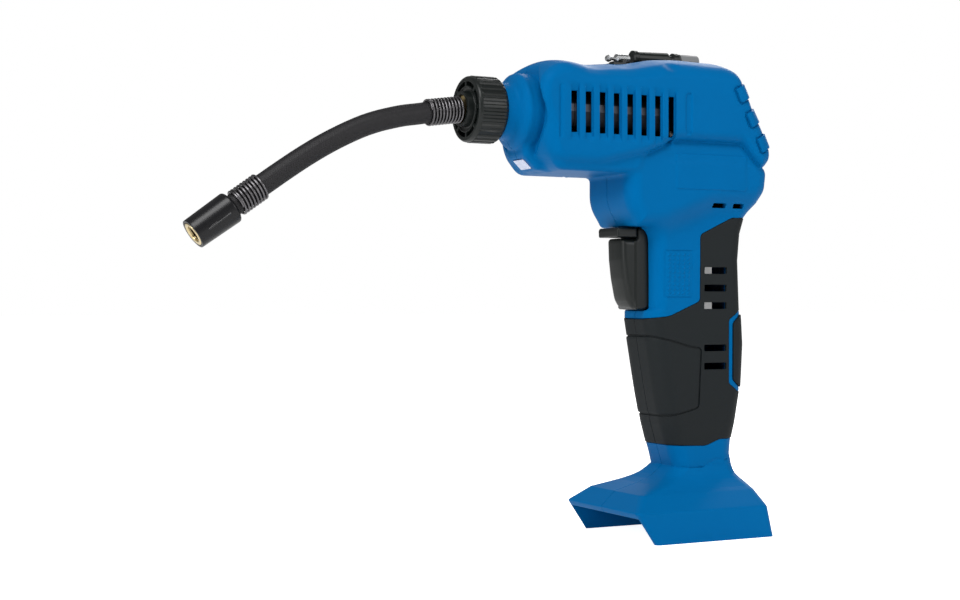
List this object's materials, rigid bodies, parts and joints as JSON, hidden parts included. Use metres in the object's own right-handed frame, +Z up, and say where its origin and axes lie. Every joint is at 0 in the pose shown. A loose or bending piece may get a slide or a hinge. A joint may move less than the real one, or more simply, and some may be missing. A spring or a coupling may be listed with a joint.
{
  "type": "cordless tyre inflator",
  "caption": "Pistol-grip cordless tyre inflator, bare tool with open battery foot, vented barrel, knurled nose nut and a short braided hose ending in a screw-on valve connector",
  "frame": {"origin": "under the middle of the tool's box, on the surface it stands on, measured without the hose", "axes": "+Z up, the nose and hose point along -X, the tool's left side faces -Y"},
  "size_m": [0.3282, 0.075, 0.2644],
  "materials": {
    "housing_blue": "fine moulded texture, satin",
    "grip_rubber": "soft-touch overmould",
    "black_plastic": "moulded, satin",
    "hose_braid": "braided cover over a rubber hose",
    "spring_steel": "blackened wire, worn bright",
    "steel": "bright",
    "brass": "turned",
    "aluminium": "die cast",
    "clear_plastic": "polished",
    "grey_plastic": "satin",
    "white_plastic": "moulded",
    "board_green": "solder mask",
    "copper": "wound wire and laminations",
    "lead_red": "wire sleeve"
  },
  "bodies": {
    "root": {"housing_left": "housing_blue", "housing_right": "housing_blue", "grip_cover_left": "grip_rubber", "grip_cover_right": "grip_rubber", "palm_insert": "grip_rubber", "housing_screw_1": "spring_steel", "housing_screw_2": "spring_steel", "housing_screw_3": "spring_steel", "housing_screw_4": "spring_steel", "housing_screw_5": "spring_steel", "housing_screw_6": "spring_steel", "hose_spring_rear": "spring_steel", "hose_spring_front": "spring_steel", "led_lens": "clear_plastic", "display_lens": "clear_plastic", "led_lamp": "white_plastic", "motor_end_cap": "white_plastic", "connecting_rod": "white_plastic", "trigger_switch": "black_plastic", "adaptor_tray": "black_plastic", "display_bezel": "black_plastic", "outlet_tube": "black_plastic", "terminal_block": "black_plastic", "battery_lead_negative": "black_plastic", "nose_spigot": "brass", "hose_tail_fitting": "brass", "terminal_blade_1": "brass", "terminal_blade_2": "brass", "terminal_blade_3": "brass", "motor_can": "steel", "crank_axle": "steel", "crank_pin": "steel", "gearbox_plate": "aluminium", "piston": "aluminium", "cylinder": "aluminium", "cylinder_head": "aluminium", "display_module": "grey_plastic", "display_board": "board_green", "control_board": "board_green", "battery_lead_positive": "lead_red", "hose": "hose_braid"},
    "trigger": {"trigger": "black_plastic", "switch_plunger": "white_plastic"},
    "lock": {"trigger_lock": "black_plastic"},
    "nut": {"hose_nut": "black_plastic"},
    "connector": {"connector_sleeve": "black_plastic", "connector_insert": "brass", "connector_seal": "grip_rubber", "connector_pin": "brass"},
    "needle": {"adaptor_needle": "steel"},
    "taper": {"adaptor_taper": "black_plastic"},
    "narrow": {"adaptor_narrow": "grey_plastic"},
    "rotor": {"armature": "copper", "pinion": "brass", "cooling_fan": "black_plastic"},
    "crank": {"crank_gear": "white_plastic"},
    "button_1": {"display_button_1": "black_plastic"},
    "button_2": {"display_button_2": "black_plastic"},
    "button_3": {"display_button_3": "black_plastic"},
    "button_4": {"display_button_4": "black_plastic"}
  },
  "joints": [
    {"name": "trigger_pull", "type": "slide", "parent": "root", "child": "trigger", "axis": [1, 0, 0], "range_m": [0, 0.005], "stiffness_N_per_m": 1200, "springref_m": -0.004},
    {"name": "lock_slide", "type": "slide", "parent": "root", "child": "lock", "axis": [0, 1, 0], "range_m": [-0.0028, 0.0028]},
    {"name": "nut_turn", "type": "hinge", "parent": "root", "child": "nut", "pos_m": [-0.0795, 0, 0.227], "axis": [1, 0, 0], "continuous": true},
    {"name": "connector_turn", "type": "hinge", "parent": "root", "child": "connector", "pos_m": [-0.2326, 0, 0.1602], "axis": [-0.8155, 0, -0.5787], "continuous": true},
    {"name": "needle_lift", "type": "slide", "parent": "root", "child": "needle", "axis": [0, 0, 1], "range_m": [0, 0.03]},
    {"name": "taper_lift", "type": "slide", "parent": "root", "child": "taper", "axis": [0, 0, 1], "range_m": [0, 0.03]},
    {"name": "narrow_lift", "type": "slide", "parent": "root", "child": "narrow", "axis": [0, 0, 1], "range_m": [0, 0.03]},
    {"name": "motor_spin", "type": "hinge", "parent": "root", "child": "rotor", "pos_m": [0.0045, 0, 0.227], "axis": [1, 0, 0], "continuous": true},
    {"name": "crank_spin", "type": "hinge", "parent": "root", "child": "crank", "pos_m": [0.0295, 0, 0.202], "axis": [1, 0, 0], "continuous": true},
    {"name": "button_1_press", "type": "slide", "parent": "root", "child": "button_1", "axis": [-0.8995, 0, -0.4369], "range_m": [0, 0.0008], "stiffness_N_per_m": 500, "springref_m": -0.001},
    {"name": "button_2_press", "type": "slide", "parent": "root", "child": "button_2", "axis": [-0.8995, 0, -0.4369], "range_m": [0, 0.0008], "stiffness_N_per_m": 500, "springref_m": -0.001},
    {"name": "button_3_press", "type": "slide", "parent": "root", "child": "button_3", "axis": [-0.8995, 0, -0.4369], "range_m": [0, 0.0008], "stiffness_N_per_m": 500, "springref_m": -0.001},
    {"name": "button_4_press", "type": "slide", "parent": "root", "child": "button_4", "axis": [-0.8995, 0, -0.4369], "range_m": [0, 0.0008], "stiffness_N_per_m": 500, "springref_m": -0.001}
  ],
  "couplings": [
    {"joint": "crank_spin", "follows": "motor_spin", "ratio": -0.2}
  ]
}
